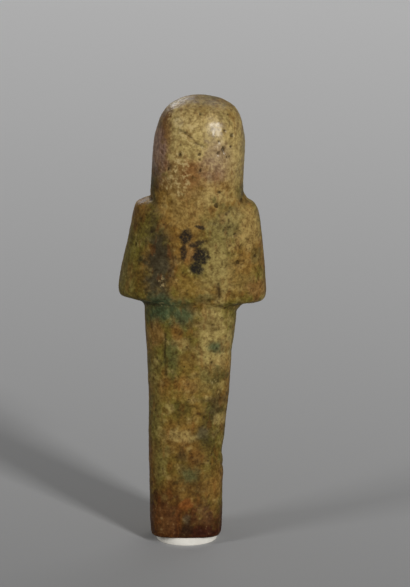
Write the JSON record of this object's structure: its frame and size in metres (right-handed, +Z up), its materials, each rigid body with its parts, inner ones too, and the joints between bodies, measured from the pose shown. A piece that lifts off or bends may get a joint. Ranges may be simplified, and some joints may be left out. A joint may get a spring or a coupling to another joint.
{
  "type": "ushabti figurine",
  "caption": "Mummiform faience tomb figure with a plain wig and crossed forearms, standing upright on a small round pad.",
  "frame": {"origin": "centre of the pad's underside, on the surface the figure stands on", "axes": "+Z up the figure, +Y the way its face looks, +X to its right-hand side"},
  "size_m": [0.0327, 0.022, 0.1012],
  "materials": {
    "faience": "worn, stained glaze gone ochre, olive and brown, semi-matt with a few glossy patches",
    "putty": "matt off-white putty"
  },
  "bodies": {
    "root": {"ushabti": "faience", "pad": "putty"}
  },
  "joints": []
}
